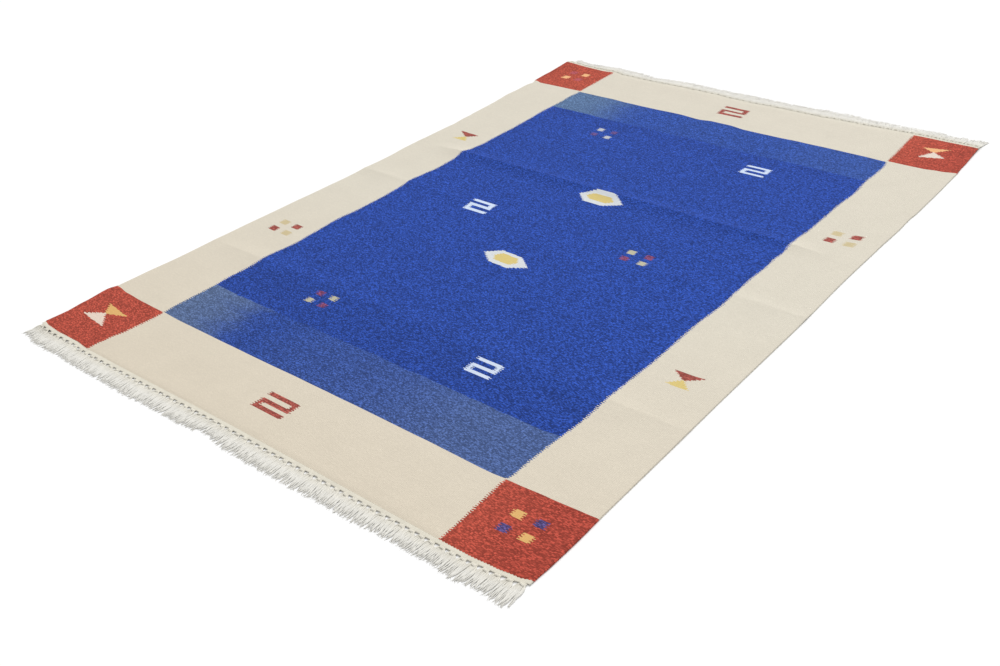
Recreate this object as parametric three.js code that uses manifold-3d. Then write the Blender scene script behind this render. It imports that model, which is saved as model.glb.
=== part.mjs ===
import * as THREE from 'three';
import { mergeVertices } from 'three/addons/utils/BufferGeometryUtils.js';
import Module from 'manifold-3d';

// Flat-woven wool rug laid on a floor, with a cotton fringe at both short ends.
// Millimetres, Z up. X runs across the width and Y along the length. The floor is at Z = 0.

// Driving sizes of the cloth
const NEAR_ROW = -1160;
const FAR_ROW = 1160;
const CLOTH_THICK = 4;
const CLOTH_COLUMNS = 20;
const PLAIN_ROW_STEP = 50;
const ROW_CLEARANCE = 10;

// Driving sizes of the fringe
const END_GAP = 0.3;
const WEB_DEEP = 12;
const WEB_THICK = 3;
const TASSELS = 61;
const ROOT_SPREAD = 4.45;
const TIP_SPREAD = 6.45;
const TIP_STRAY = 0.6;
const LENGTH_STRAY = 4;

const COLOURS = { wool: 0x35529f, cotton: 0xe6e1d3 };

// The sides of the woven cloth: `side` is where each one runs at the place `at`. The long sides
// bow in between the corner squares, and the ends are drawn in at some corners.
const LEFT_SIDE = [
  { at: -1160, side: -804 },
  { at: -1100, side: -804.5 },
  { at: -1040, side: -812 },
  { at: -960, side: -819.5 },
  { at: -925, side: -809 },
  { at: -860, side: -807 },
  { at: -720, side: -800 },
  { at: -520, side: -799 },
  { at: -330, side: -794 },
  { at: -80, side: -786 },
  { at: 120, side: -785.5 },
  { at: 240, side: -791 },
  { at: 450, side: -787 },
  { at: 570, side: -793.5 },
  { at: 690, side: -797 },
  { at: 780, side: -806 },
  { at: 900, side: -806 },
  { at: 960, side: -811 },
  { at: 1160, side: -807 },
];
const RIGHT_SIDE = [
  { at: -1160, side: 801 },
  { at: -1100, side: 803.5 },
  { at: -1030, side: 804 },
  { at: -900, side: 802 },
  { at: -450, side: 800 },
  { at: -90, side: 801 },
  { at: 190, side: 797 },
  { at: 520, side: 801 },
  { at: 780, side: 802 },
  { at: 940, side: 800 },
  { at: 1010, side: 796 },
  { at: 1160, side: 790 },
];
const NEAR_END = [
  { at: -810, side: -1154.5 },
  { at: -730, side: -1163 },
  { at: -650, side: -1161 },
  { at: -560, side: -1165 },
  { at: 0, side: -1158.5 },
  { at: 640, side: -1159.5 },
  { at: 720, side: -1155 },
  { at: 800, side: -1141 },
];
const FAR_END = [
  { at: -810, side: 1154.5 },
  { at: -730, side: 1162 },
  { at: -605, side: 1172 },
  { at: -550, side: 1160 },
  { at: -400, side: 1156 },
  { at: -240, side: 1161 },
  { at: -80, side: 1152 },
  { at: 0, side: 1150 },
  { at: 240, side: 1155 },
  { at: 400, side: 1162 },
  { at: 620, side: 1176 },
  { at: 800, side: 1168 },
];

// Creases across the cloth, left by its packing folds. Each is a low ridge that stands off the
// floor, with a sharp crest at `y` and flanks that flatten out over `nearFlank` and `farFlank`.
// It runs between `from` and `to`, is `left` high towards one and `right` high towards the other,
// and rises from nothing over `run` at both.
const CREASES = [
  { y: 272, from: -850, to: 860, left: 7.5, right: 8, nearFlank: 62, farFlank: 54, run: 270 },
  { y: 6, from: -900, to: -180, left: 3, right: 1.5, nearFlank: 62, farFlank: 84, run: 160 },
  { y: -46, from: 200, to: 900, left: 1.5, right: 3, nearFlank: 84, farFlank: 46, run: 160 },
  { y: -601, from: -900, to: 900, left: 3, right: 3.2, nearFlank: 96, farFlank: 70, run: 260 },
];
const FLANK_ROWS = [-1, -0.66, -0.38, -0.16, 0, 0.16, 0.38, 0.66, 1];

// Corners that curl up off the floor: how high, and how far the curl reaches along both sides.
const CURLS = [
  { side: LEFT_SIDE, end: FAR_END, rise: 14, reachX: 190, reachY: 235 },
  { side: LEFT_SIDE, end: NEAR_END, rise: 4.5, reachX: 170, reachY: 150 },
  { side: RIGHT_SIDE, end: FAR_END, rise: 3, reachX: 150, reachY: 160 },
];
const CURL_BEND = 1.6;

// A tassel has two legs. These are the sections of a leg from root to tip: `along` is the share of
// its length, `out` the share of the way from its place at the root to its place at the tip, and
// `hang` the share of the cloth's lift that is left there. The tip rests on the floor.
const LEG_SECTIONS = [
  { along: -0.035, out: 0, wide: 5.4, high: 2.2, base: 0.4, hang: 1 },
  { along: 0.075, out: 0.05, wide: 8.2, high: 5.4, base: 0, hang: 0.94 },
  { along: 0.26, out: 0.85, wide: 10, high: 4.4, base: 0, hang: 0.6 },
  { along: 1, out: 1, wide: 10, high: 2.8, base: 0, hang: 0 },
];
const LEG_TOP_SHARE = 0.5;
const TURNS = [-1, 1];

// A leg below a curled corner comes down to the floor at this section.
const LANDING_SECTION = { along: 0.62, out: 0.93, wide: 10, high: 3.8, base: 0, hang: 0 };
const LIFTED_FROM = 0.5;

// The tassels lean together in two waves along the fringe. At the near end the last ones on the
// right splay out.
const LEAN_WAVES = [
  { lean: 4, step: 130, phase: 1 },
  { lean: 2, step: 47, phase: -2 },
];
const NEAR_FLARE = { at: 808, wide: 34, lean: 9 };

// How long the tassels of each end are at a place across the width. Some near the middle of the
// near end are short, and the far ones are longest right of the middle.
const NEAR_TASSELS = [
  { at: -800, long: 50 },
  { at: -700, long: 57 },
  { at: -560, long: 54 },
  { at: -350, long: 57 },
  { at: -150, long: 54 },
  { at: -68, long: 39 },
  { at: 0, long: 54 },
  { at: 200, long: 55 },
  { at: 400, long: 53 },
  { at: 590, long: 48 },
  { at: 730, long: 52 },
  { at: 800, long: 64 },
];
const FAR_TASSELS = [
  { at: -800, long: 63 },
  { at: -750, long: 48 },
  { at: -600, long: 49 },
  { at: -530, long: 58 },
  { at: -430, long: 46 },
  { at: -280, long: 61 },
  { at: -180, long: 57 },
  { at: 0, long: 69 },
  { at: 130, long: 62 },
  { at: 250, long: 72 },
  { at: 330, long: 70 },
  { at: 400, long: 60 },
  { at: 690, long: 49 },
  { at: 800, long: 64 },
];

const wasm = await Module();
wasm.setup();

function mix(a, b, share) {
  return a + (b - a) * share;
}

function smooth(share) {
  const held = Math.min(1, Math.max(0, share));
  return held * held * (3 - 2 * held);
}

function bump(x, spot) {
  return Math.exp(-Math.pow((x - spot.at) / spot.wide, 2));
}

// A repeatable stray between -1 and 1 for one of many like things.
function stray(count, kind) {
  const wave = Math.sin(count * 12.9898 + kind * 78.233) * 43758.5453;
  return 2 * (wave - Math.floor(wave)) - 1;
}

// What a table's column says for a place, eased between its rows.
function tableAt(table, column, at) {
  const next = table.findIndex((row) => row.at >= at);
  if (next < 0) {
    return table[table.length - 1][column];
  }
  if (next === 0) {
    return table[0][column];
  }
  const a = table[next - 1];
  const b = table[next];
  return mix(a[column], b[column], smooth((at - a.at) / (b.at - a.at)));
}

// Where a side runs at a place.
function sideAt(table, at) {
  return tableAt(table, 'side', at);
}

function creaseRise(crease, x, y) {
  const off = y - crease.y;
  const flank = off < 0 ? crease.nearFlank : crease.farFlank;
  const share = Math.max(0, 1 - Math.abs(off) / flank);
  const ends = smooth((x - crease.from) / crease.run) * smooth((crease.to - x) / crease.run);
  const crest = mix(crease.left, crease.right, (x - crease.from) / (crease.to - crease.from));
  return crest * ends * share * share;
}

function curlRise(curl, x, y) {
  const fromSide = Math.abs(x - sideAt(curl.side, y)) / curl.reachX;
  const fromEnd = Math.abs(y - sideAt(curl.end, x)) / curl.reachY;
  return curl.rise * Math.pow(Math.max(0, 1 - fromSide - fromEnd), CURL_BEND);
}

// Height of the cloth's underside over the floor.
function riseAt(x, y) {
  const creases = CREASES.map((crease) => creaseRise(crease, x, y));
  const curls = CURLS.map((curl) => curlRise(curl, x, y));
  return Math.max(...creases, ...curls);
}

// Rows of the cloth's surface along Y: close over the creases, and evenly spaced elsewhere.
function clothRows() {
  const rows = [NEAR_ROW, FAR_ROW];
  const clear = (y) => rows.every((row) => Math.abs(row - y) > ROW_CLEARANCE);
  for (const crease of CREASES) {
    for (const share of FLANK_ROWS) {
      const y = crease.y + share * (share < 0 ? crease.nearFlank : crease.farFlank);
      if (clear(y)) {
        rows.push(y);
      }
    }
  }
  const creased = [...rows];
  for (let y = NEAR_ROW + PLAIN_ROW_STEP; y < FAR_ROW; y += PLAIN_ROW_STEP) {
    if (creased.every((row) => Math.abs(row - y) > PLAIN_ROW_STEP / 2)) {
      rows.push(y);
    }
  }
  return rows.sort((a, b) => a - b);
}

// A point of the cloth's underside from its column and the row it belongs to. The rows bend to
// meet the uneven ends.
function clothPoint(column, row) {
  const share = column / CLOTH_COLUMNS;
  const along = (row - NEAR_ROW) / (FAR_ROW - NEAR_ROW);
  const x = mix(sideAt(LEFT_SIDE, row), sideAt(RIGHT_SIDE, row), share);
  const nearShift = (sideAt(NEAR_END, x) - NEAR_ROW) * Math.pow(1 - along, 6);
  const farShift = (sideAt(FAR_END, x) - FAR_ROW) * Math.pow(along, 6);
  const y = row + nearShift + farShift;
  return new THREE.Vector3(x, y, riseAt(x, y));
}

// A box of columns and rows of cells, each corner moved to where `place` puts it. `place` is told
// the corner's column and row and whether it is on the top.
function shapedBox(columns, rows, place) {
  const geometry = new THREE.BoxGeometry(1, 1, 1, columns, rows, 1);
  geometry.deleteAttribute('normal');
  geometry.deleteAttribute('uv');
  const corners = geometry.attributes.position;
  for (let n = 0; n < corners.count; n += 1) {
    const column = Math.round((corners.getX(n) + 0.5) * columns);
    const row = Math.round((corners.getY(n) + 0.5) * rows);
    const p = place(column, row, corners.getZ(n) > 0);
    corners.setXYZ(n, p.x, p.y, p.z);
  }
  return mergeVertices(geometry, 1e-4);
}

function toSolid(geometry) {
  const vertProperties = new Float32Array(geometry.attributes.position.array);
  const triVerts = new Uint32Array(geometry.index.array);
  return new wasm.Manifold(new wasm.Mesh({ numProp: 3, vertProperties, triVerts }));
}

function toGeometry(solid) {
  const { vertProperties, triVerts } = solid.getMesh();
  const geometry = new THREE.BufferGeometry();
  geometry.setAttribute('position', new THREE.BufferAttribute(new Float32Array(vertProperties), 3));
  geometry.setIndex(Array.from(triVerts));
  return mergeVertices(geometry, 1e-3);
}

function clothGeometry() {
  const rows = clothRows();
  return shapedBox(CLOTH_COLUMNS, rows.length - 1, (column, row, top) => {
    const p = clothPoint(column, rows[row]);
    p.z += top ? CLOTH_THICK : 0;
    return p;
  });
}

// The cloth's end as its column points, left to right.
function clothEnd(way) {
  const row = way < 0 ? NEAR_ROW : FAR_ROW;
  return Array.from({ length: CLOTH_COLUMNS + 1 }, (_, column) => clothPoint(column, row));
}

function pointOnEnd(end, x) {
  const next = Math.max(1, end.findIndex((p) => p.x >= x));
  const a = end[next - 1];
  const b = end[next];
  return a.clone().lerp(b, (x - a.x) / (b.x - a.x));
}

// The plain web strip along one end of the cloth. `way` is -1 at the near end and 1 at the far.
function webGeometry(end, way) {
  return shapedBox(CLOTH_COLUMNS, 1, (column, row, top) => {
    const outward = way < 0 ? 1 - row : row;
    const p = end[column].clone();
    p.y += way * (END_GAP + outward * WEB_DEEP);
    p.z += top ? WEB_THICK : 0;
    return p;
  });
}

// One leg of a tassel, wider at its base than at its top.
function legGeometry(root, tipX, long, way, sections) {
  const last = sections.length - 1;
  return shapedBox(1, last, (column, row, top) => {
    const section = sections[way < 0 ? last - row : row];
    const half = (section.wide / 2) * (top ? LEG_TOP_SHARE : 1);
    const x = mix(root.x, tipX, section.out) + (column === 0 ? -half : half);
    const y = root.y + way * section.along * long;
    const z = root.z * section.hang + section.base + (top ? section.high : 0);
    return new THREE.Vector3(x, y, z);
  });
}

function leanAt(x, way) {
  const waves = LEAN_WAVES.map((w) => w.lean * Math.sin(x / w.step + w.phase * way));
  const flare = way < 0 ? NEAR_FLARE.lean * bump(x, NEAR_FLARE) : 0;
  return waves.reduce((sum, lean) => sum + lean, flare);
}

// Web strip and tassels of one end, joined at the tassels' roots.
function fringeGeometry(way, tassels) {
  const end = clothEnd(way);
  const pitch = (end[CLOTH_COLUMNS].x - end[0].x) / TASSELS;
  let fringe = toSolid(webGeometry(end, way));
  for (let tassel = 0; tassel < TASSELS; tassel += 1) {
    const middle = pointOnEnd(end, end[0].x + (tassel + 0.5) * pitch);
    const lean = leanAt(middle.x, way);
    const mean = tableAt(tassels, 'long', middle.x);
    const landing = middle.z > LIFTED_FROM ? [LANDING_SECTION] : [];
    const sections = [...LEG_SECTIONS.slice(0, -1), ...landing, ...LEG_SECTIONS.slice(-1)];
    for (const turn of TURNS) {
      const count = 2 * tassel + turn;
      const root = middle.clone();
      root.x += turn * ROOT_SPREAD;
      root.y += way * (END_GAP + WEB_DEEP);
      const tipX = middle.x + turn * TIP_SPREAD + lean + TIP_STRAY * stray(count, 7 + way);
      const long = mean + LENGTH_STRAY * stray(count, 3 + way);
      fringe = fringe.add(toSolid(legGeometry(root, tipX, long, way, sections)));
    }
  }
  return toGeometry(fringe);
}

function namedMesh(name, geometry, color, roughness) {
  const mesh = new THREE.Mesh(geometry, new THREE.MeshStandardMaterial({ color, roughness, metalness: 0 }));
  mesh.name = name;
  return mesh;
}

const rug = new THREE.Group();
rug.add(namedMesh('kilim_cloth', clothGeometry(), COLOURS.wool, 0.95));
rug.add(namedMesh('fringe_front', fringeGeometry(-1, NEAR_TASSELS), COLOURS.cotton, 0.9));
rug.add(namedMesh('fringe_back', fringeGeometry(1, FAR_TASSELS), COLOURS.cotton, 0.9));

// The origin is in the middle of the rug's outer box, on the floor.
const box = new THREE.Box3().setFromObject(rug);
const middle = box.getCenter(new THREE.Vector3());
for (const mesh of rug.children) {
  mesh.geometry.translate(-middle.x, -middle.y, -box.min.z);
}

export default rug;
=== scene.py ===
"""Dresses the packed solids of a flat-woven wool rug: its cloth, fringes, selvedges and a plain studio."""

import math

import bpy
import numpy as np
from bpy.props import FloatProperty, FloatVectorProperty, IntProperty, PointerProperty
from mathutils import Matrix, Vector


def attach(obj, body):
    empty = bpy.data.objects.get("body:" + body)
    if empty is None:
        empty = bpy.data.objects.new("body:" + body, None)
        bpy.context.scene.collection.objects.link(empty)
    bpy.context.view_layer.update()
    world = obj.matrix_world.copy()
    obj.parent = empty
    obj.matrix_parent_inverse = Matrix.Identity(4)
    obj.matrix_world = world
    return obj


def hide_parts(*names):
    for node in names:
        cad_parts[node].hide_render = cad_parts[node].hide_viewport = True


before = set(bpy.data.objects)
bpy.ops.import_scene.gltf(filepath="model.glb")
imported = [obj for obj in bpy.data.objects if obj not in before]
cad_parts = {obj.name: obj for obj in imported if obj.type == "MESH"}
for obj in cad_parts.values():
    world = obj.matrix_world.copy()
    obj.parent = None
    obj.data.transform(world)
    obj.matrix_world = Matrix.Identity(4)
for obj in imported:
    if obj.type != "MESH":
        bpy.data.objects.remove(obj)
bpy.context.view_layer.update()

bl_info = {
    "name": "Kilim Rug",
    "version": (1, 0, 0),
    "blender": (4, 5, 0),
    "location": "View3D > Sidebar > Rug",
    "description": "Weaves a fringed wool rug around its packed solids and sets up a studio for it",
    "category": "Object",
}

MM = 0.001

# The sides of the woven cloth in millimetres: where each one runs (second number) at a place along
# it (first number). X runs across the width and Y along the length.
LEFT_SIDE = (
    (-1160, -804), (-1100, -804.5), (-1040, -812), (-960, -819.5), (-925, -809.5), (-860, -808),
    (-720, -801.5), (-520, -800), (-330, -795), (-180, -790), (-80, -787), (120, -786.5),
    (210, -791.5), (270, -792), (320, -790.5), (420, -789.5), (450, -787.5), (510, -792),
    (545, -791.5), (570, -794.5), (630, -796), (690, -798.5), (720, -802), (780, -807.5),
    (840, -806), (900, -808), (930, -802), (960, -811), (1010, -811.5), (1060, -808.5),
    (1160, -807),
)
RIGHT_SIDE = (
    (-1160, 801), (-1100, 803.5), (-1030, 804), (-900, 802), (-700, 801.5), (-450, 800), (-90, 801),
    (190, 797), (390, 798.5), (520, 801), (600, 799.5), (640, 802), (780, 802), (940, 800),
    (1010, 796), (1160, 790),
)
NEAR_END = (
    (-810, -1154.5), (-775, -1161.5), (-730, -1163.5), (-690, -1162), (-650, -1161), (-600, -1165.5),
    (-560, -1165), (0, -1158.5), (600, -1159.5), (660, -1159), (720, -1155), (770, -1149),
    (800, -1140),
)
FAR_END = (
    (-810, 1154.5), (-770, 1160), (-650, 1167.5), (-630, 1170.5), (-605, 1175), (-580, 1168.5),
    (-550, 1160), (-400, 1156), (-320, 1160), (-160, 1160), (-80, 1152), (0, 1150), (80, 1155),
    (240, 1155), (320, 1160), (400, 1162), (480, 1168), (600, 1175.5), (640, 1176), (700, 1174),
    (760, 1172), (800, 1168),
)
# The straight rows that the two ends are bent from, and how soon the bend dies out along the cloth.
NEAR_ROW, FAR_ROW = -1160, 1160
END_POWER = 6

# Where the lines between border and field run. The wool has pulled them out of true.
LEFT_BORDER = (
    (-1150, -595), (-1100, -590.5), (-1060, -582), (-960, -577.5), (-900, -582), (-775, -580),
    (-720, -584), (-640, -582), (-575, -586.5), (-470, -579), (-420, -583), (-300, -589),
    (-225, -582), (-150, -581.5), (-40, -585), (30, -592), (80, -588), (125, -581.5), (225, -585),
    (270, -591), (325, -587), (375, -581.5), (425, -584.5), (475, -584.5), (525, -582.5),
    (625, -586), (725, -590.5), (825, -589), (875, -593), (930, -589), (1000, -592), (1150, -595.5),
)
RIGHT_BORDER = (
    (-1150, 585.5), (-1100, 584.5), (-1020, 580.5), (-960, 578), (-925, 584.5), (-875, 583.5),
    (-825, 585), (-775, 588.5), (-700, 593), (-550, 591.5), (-400, 596.5), (-225, 594.5),
    (-100, 600.5), (50, 596), (125, 599), (180, 597), (225, 600), (275, 596.5), (325, 594),
    (375, 599), (575, 599), (660, 604), (775, 597.5), (820, 600), (880, 600), (950, 590),
    (1000, 589), (1040, 586), (1150, 580),
)
NEAR_BORDER = (
    (-800, -930), (-750, -937.5), (-680, -942), (-600, -943.5), (-500, -948), (-200, -948),
    (-60, -946.5), (100, -946), (340, -947), (540, -949.5), (600, -945), (680, -940.5), (775, -935.5),
    (800, -933.5),
)
FAR_BORDER = (
    (-800, 945), (-770, 935), (-720, 938), (-560, 939.5), (-440, 940.5), (-380, 936), (-260, 936.5),
    (-170, 939.5), (-80, 933), (-30, 941.5), (30, 941.5), (100, 931.5), (220, 931), (300, 934),
    (400, 935.5), (520, 934), (615, 930), (700, 931), (750, 940.5), (800, 953),
)

# The same lines on the loom, where they were straight.
LOOM_SIDE, LOOM_BORDER = 800, 586
LOOM_NEAR_END, LOOM_NEAR_BORDER, LOOM_FAR_BORDER, LOOM_FAR_END = -1156, -945, 935, 1156

# Creases across the cloth, within 5 mm of the solid's: a low ridge at `y` whose flanks flatten out
# over `near` and `far`, `left` high towards `start` and `right` high towards `stop`.
CREASES = (
    dict(y=273, start=-745, stop=740, left=9, right=8.5, near=66, far=60, run=200),
    dict(y=6, start=-900, stop=-180, left=3, right=1.5, near=62, far=84, run=160),
    dict(y=-46, start=200, stop=900, left=1.5, right=3, near=84, far=46, run=160),
    dict(y=-601, start=-900, stop=900, left=3, right=3.2, near=96, far=70, run=260),
)
# Corners that lift off the floor: `rise` high where a side meets an end, and down on the floor
# `reach_x` across and `reach_y` along from there. The power says how sharply they bend up.
CURLS = (
    dict(side=LEFT_SIDE, end=FAR_END, rise=14, reach_x=190, reach_y=235),
    dict(side=LEFT_SIDE, end=NEAR_END, rise=4.5, reach_x=170, reach_y=150),
    dict(side=RIGHT_SIDE, end=FAR_END, rise=3, reach_x=150, reach_y=160),
)
CURL_BEND = 1.6

# Motifs of the chart, placed where they lie on the floor, in millimetres. `yarn` names a colour.
# A bow-tie is two triangles that meet at a point. Each has its base `high` away, `half` to both
# sides of a middle that is `shift` off, and slanting by `slant`.
BOW_TIES = (
    dict(x=-709, y=-1037, far=dict(shift=17, half=44.5, high=28.5, slant=-0.13, yarn="yellow"),
         near=dict(shift=-2, half=48.5, high=-36.5, slant=-0.1, yarn="ivory")),
    dict(x=685, y=1071, far=dict(shift=-0.5, half=42, high=30, slant=0.25, yarn="apricot"),
         near=dict(shift=5, half=38.5, high=-39, slant=0.31, yarn="ivory")),
    dict(x=693, y=-441.5, far=dict(shift=0, half=41.5, high=27.5, slant=0, yarn="brick"),
         near=dict(shift=0, half=31, high=-31, slant=-0.04, yarn="gold")),
    dict(x=-672, y=385, far=dict(shift=-8, half=44.5, high=30, slant=-0.05, yarn="brick"),
         near=dict(shift=-6, half=30, high=-30, slant=0.02, yarn="gold")),
)
# Four small blocks in a square, each `wide` and `high`, with their middles `across` and `along`
# apart. `falling` is the yarn of the far left and near right ones.
FOUR_BLOCKS = (
    dict(x=693, y=-1036.5, across=52.5, along=46.5, wide=24, high=22.5, falling="yellow", rising="navy"),
    dict(x=-698.5, y=1066, across=53.5, along=51, wide=26, high=26, falling="plum", rising="apricot"),
    dict(x=-680, y=-431.5, across=54, along=44.5, wide=29, high=25, falling="straw", rising="brick"),
    dict(x=699, y=382, across=58.5, along=46, wide=30, high=26, falling="straw", rising="brick"),
    dict(x=-276.5, y=-661, across=50, along=39.5, wide=21, high=21, falling="wine", rising="pale"),
    dict(x=288.5, y=-17, across=55.5, along=39.5, wide=23, high=22, falling="pale", rising="wine"),
    dict(x=-285, y=656, across=52.5, along=44, wide=21, high=21, falling="chalk", rising="mauve"),
)
# Three bars joined by turns at alternate ends. `lean` is how far they slip across for each
# millimetre towards the near end.
MEANDERS = (
    dict(x=-13, y=-1050.5, wide=98, high=65, bar=13, lean=0, yarn="brick"),
    dict(x=-11, y=1049.5, wide=92, high=78, bar=14.5, lean=0.03, yarn="brick"),
    dict(x=284.5, y=-664.5, wide=75.5, high=61, bar=11, lean=0, yarn="ice"),
    dict(x=-281.5, y=-6, wide=81, high=68, bar=13.5, lean=0.01, yarn="ice"),
    dict(x=287, y=652.5, wide=78, high=64, bar=11.5, lean=0, yarn="ice"),
)
# How much wider a meander's turns are than its bars, and how far a bow-tie's triangles run past the
# point where they meet.
TURN_EXTRA = 2
BOW_TIE_OVERLAP = 2
# Six-sided medallions with their tips to both sides and a filled middle. Each shape is `half` wide
# to both sides at its tips. Its edges are `far` and `near` away, with a half width and a slip to
# the left of their own.
MEDALLIONS = (
    dict(
        x=-3.5, y=235.5, slant=0,
        outer=dict(
            x=0, y=0, half=77, far=36.5, near=40, far_half=31, near_half=32.5, far_slip=1, near_slip=6,
        ),
        inner=dict(
            x=-3.5, y=-2.5, half=48.5, far=18, near=18, far_half=29, near_half=29, far_slip=0, near_slip=0,
        ),
    ),
    dict(
        x=-6.5, y=-219, slant=-0.06,
        outer=dict(
            x=0, y=0, half=79, far=33, near=37, far_half=35, near_half=32.5, far_slip=5.5, near_slip=0,
        ),
        inner=dict(
            x=-2, y=0.5, half=41.5, far=21, near=21, far_half=27, near_half=27, far_slip=0, near_slip=0,
        ),
    ),
)

# In the bands at both ends of the field the blue is greyer in places across the width. Each row is a place
# across the width and the share of the greyer blue there.
NEAR_BAND_FROM, FAR_BAND_FROM = -770, 765
NEAR_BAND = ((-560, 1), (-470, 0.86), (-405, 0.52), (-345, 0.08), (-300, 0), (-130, 0.13), (130, 0.27),
             (260, 0.43), (385, 0.59), (560, 0.62))
FAR_BAND = ((-560, 1), (-480, 0.95), (-430, 0.78), (-370, 0.44), (-310, 0.11), (-250, 0.02), (0, 0.05),
            (200, 0.03), (375, 0.12), (560, 0.16))
# How light the field is along its length: painted shade on the near side of the crease at y -601, from -769
# to -600, and a slightly darker strip from 705 to 764.
FIELD_TONE_AND_CREASE_SHADE = ((-771, 1.0), (-769, 0.93), (-640, 0.93), (-600, 1.0), (690, 1.0), (705, 0.96),
               (764, 0.96), (766, 1.0))
# How the red of the right corners deepens across the width.
RED_SHADE = ((600, (1, 1, 1)), (730, (0.91, 0.845, 0.87)))
# How the wool's colour changes along the rug's length, darker and warmer towards the near end, and what
# lightens all of it evenly.
ALONG_TINT = ((-1150, (0.943, 0.914, 0.881)), (-100, (0.967, 0.981, 0.99)), (1150, (0.967, 0.976, 0.986)))
WOOL_GAIN = 1.05
# How far to both sides of the middle these tables are read, but for the red, which has two ends.
BAND_REACH, SHADE_REACH, ALONG_REACH = 600, 950, 1200
RED_FROM, RED_TO = 500, 800

# How far the greyer blues wander, in millimetres: across the near and the far band, and at the near band's
# edge. The noise behind it is squeezed along the length.
NEAR_WANDER, FAR_WANDER, EDGE_WANDER = 120, 100, 14
WANDER_SCALE, WANDER_DETAIL, WANDER_SQUEEZE = 0.013, 3.0, 2.5
# How far inside the loom's lines the field's blue stops, and how far past them the corners start.
FIELD_NEAR_GAP, FIELD_FAR_GAP = 1, 3
CORNER_SIDE_GAP, CORNER_NEAR_GAP, CORNER_FAR_GAP = 1, 1, 4

# The wools, by the names that the chart gives them, and the cottons.
YARNS = {
    "cream": ("Cream wool of the border", (0.686, 0.632, 0.53)),
    "field": ("Blue wool of the field", (0.0217, 0.0639, 0.33)),
    "red": ("Red wool of the near corner squares", (0.415, 0.0752, 0.0505)),
    "bloom": ("Brighter red wool of the far corner squares", (0.442, 0.079, 0.0495)),
    "brick": ("Dull red wool of the border's motifs", (0.345, 0.0845, 0.068)),
    "wine": ("Dark red wool of the field's blocks", (0.215, 0.062, 0.138)),
    "mauve": ("Faded red wool of the far left blocks in the field", (0.121, 0.073, 0.224)),
    "plum": ("Purple-red wool of the far left corner", (0.445, 0.095, 0.11)),
    "navy": ("Dark blue wool of the near right corner", (0.088, 0.066, 0.20)),
    "yellow": ("Yellow wool of the near corners", (0.71, 0.44, 0.168)),
    "apricot": ("Apricot wool of the far corners", (0.84, 0.457, 0.22)),
    "gold": ("Gold wool of the bow-ties and medallions", (0.68, 0.54, 0.205)),
    "straw": ("Straw wool of the blocks in the border", (0.600, 0.50, 0.30)),
    "pale": ("Pale yellow wool of the blocks in the field", (0.498, 0.47, 0.338)),
    "ivory": ("Ivory wool of the bow-ties in the corners", (0.765, 0.65, 0.565)),
    "chalk": ("Chalk white wool of the far left blocks in the field", (0.51, 0.515, 0.55)),
    "white": ("White wool of the medallions", (0.665, 0.685, 0.70)),
    "ice": ("Blue-white wool of the bars in the field", (0.622, 0.707, 0.864)),
    "slate": ("Grey-blue wool of the near band", (0.098, 0.153, 0.298)),
    "dull": ("Dull blue wool of the near band", (0.0261, 0.0684, 0.309)),
    "steel": ("Green-blue wool of the far band", (0.099, 0.1706, 0.311)),
    "bright": ("Brighter blue wool of the far band", (0.0266, 0.0739, 0.336)),
}
COTTONS = {
    "cotton": ("Cotton of the fringes", (0.80, 0.783, 0.73)),
    "web": ("Cotton of the webs, tinted by the wool", (0.70, 0.66, 0.555)),
}


def colour_property(name, about, colour):
    return FloatVectorProperty(
        name=name.capitalize(), description=about, default=colour, subtype="COLOR", size=3, min=0, max=1
    )


def angle_property(name, about, degrees):
    return FloatProperty(name=name, description=about, default=math.radians(degrees), subtype="ANGLE")


def length_property(name, about, default):
    return FloatProperty(name=name, description=about, default=default, min=0, unit="LENGTH")


class RugYarnColours(bpy.types.PropertyGroup):
    """Colours of the yarns"""

    __annotations__ = {
        name: colour_property(name, about, colour) for name, (about, colour) in (YARNS | COTTONS).items()
    }


class RugClothSizes(bpy.types.PropertyGroup):
    """Sizes of the woven cloth"""

    thick: length_property("Thickness", "Thickness of the cloth", 0.004)
    cell: length_property("Mesh cell", "Spacing of the cloth's mesh", 0.0097)
    edge: length_property("Edge rounding", "How far in from its edges the cloth is rounded", 0.0024)
    warp: length_property("Warp pitch", "Distance between ribs, across the width", 0.0044)
    weft: length_property("Weft pitch", "Distance between weft rows, along the length", 0.0022)
    tooth: length_property("Tooth", "How far the teeth of a colour join reach past it", 0.0033)
    tooth_pitch: length_property("Tooth pitch", "Distance between the teeth of a colour join", 0.0062)
    tooth_stray: length_property("Tooth stray", "How much the reach of single rows varies", 0.0008)
    ripple: length_property("Ripple", "Height of the slow unevenness of the surface", 0.0005)
    relief: length_property("Relief", "Depth of the weave's relief", 0.0007)


class RugSelvedgeSizes(bpy.types.PropertyGroup):
    """Sizes of the selvedges"""

    pitch: length_property("Turn pitch", "Distance between the weft's turns", 0.0027)
    yarn: length_property("Yarn radius", "Radius of the weft where it turns", 0.00125)
    reach: length_property("Turn radius", "Radius of a turn round the last warp", 0.00125)


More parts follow.
